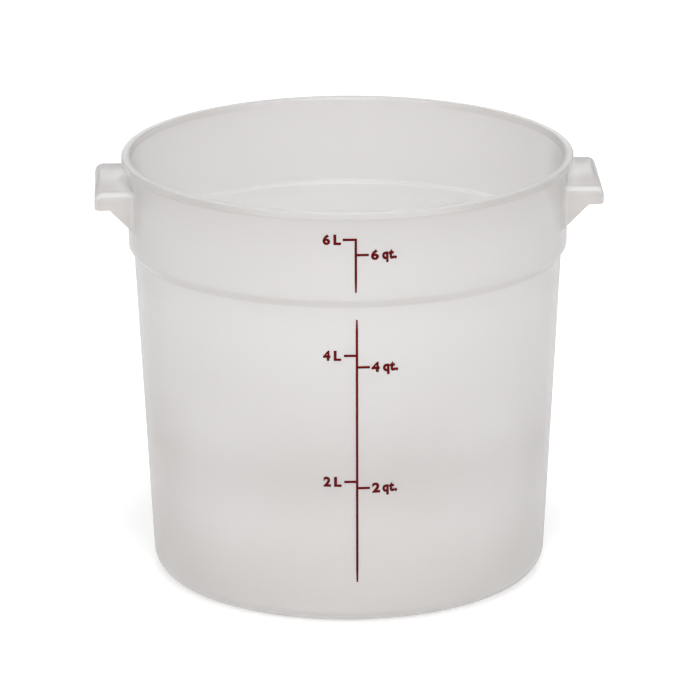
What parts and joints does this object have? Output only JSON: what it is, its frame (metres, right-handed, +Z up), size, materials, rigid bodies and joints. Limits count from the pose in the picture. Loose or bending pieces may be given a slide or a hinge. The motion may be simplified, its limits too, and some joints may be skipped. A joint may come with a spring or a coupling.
{
  "type": "food storage container",
  "caption": "Round open food storage container of milky plastic with a stepped wall, a lip for a lid, hollow ear handles and a printed volume scale.",
  "frame": {"origin": "centre of the circle that the foot ring stands on", "axes": "+Z up along the vessel's axis, +X towards one ear handle, -Y towards the printed scale"},
  "size_m": [0.2474, 0.2212, 0.2112],
  "materials": {
    "milky_plastic": "translucent milky polypropylene, smooth with a soft sheen",
    "scale_ink": "dark red printing ink"
  },
  "bodies": {
    "root": {"vessel": "milky_plastic", "scale_upper": "scale_ink", "scale_lower": "scale_ink"}
  },
  "joints": []
}
